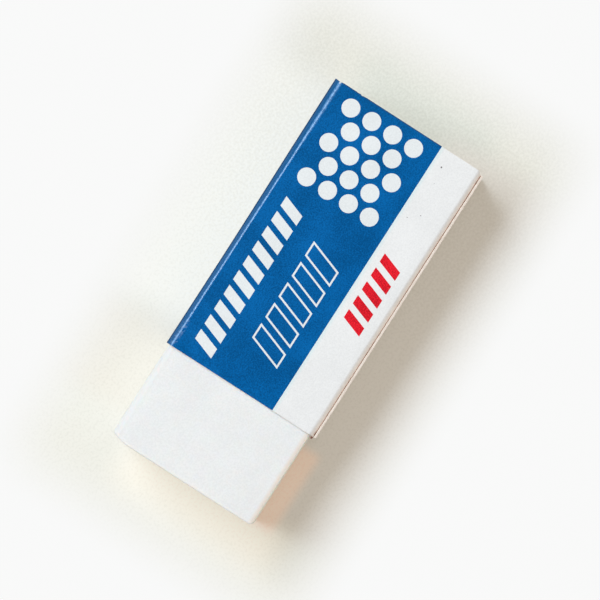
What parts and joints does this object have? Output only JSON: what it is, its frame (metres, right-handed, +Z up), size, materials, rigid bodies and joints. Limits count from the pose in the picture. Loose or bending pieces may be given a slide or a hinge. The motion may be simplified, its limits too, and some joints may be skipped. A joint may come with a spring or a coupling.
{
  "type": "rubber eraser",
  "caption": "White vinyl block eraser in a folded printed card sleeve that slides along the block.",
  "frame": {"origin": "centre of the whole object's footprint, on the surface that the sleeve's underside lies on", "axes": "+X along the block towards its bare nose, +Y across it towards the sleeve's glued seam, +Z up out of the printed top"},
  "size_m": [0.0434, 0.0182, 0.0124],
  "materials": {
    "vinyl": "satin",
    "white_card": "satin",
    "blue_ink": "satin",
    "red_ink": "satin"
  },
  "bodies": {
    "sleeve": {"card_sleeve": "white_card", "blue_print": "blue_ink", "red_print": "red_ink"},
    "block": {"eraser_block": "vinyl"}
  },
  "joints": [
    {"name": "block_slide", "type": "slide", "parent": "sleeve", "child": "block", "axis": [1, 0, 0], "range_m": [-0.011, 0.022]}
  ]
}
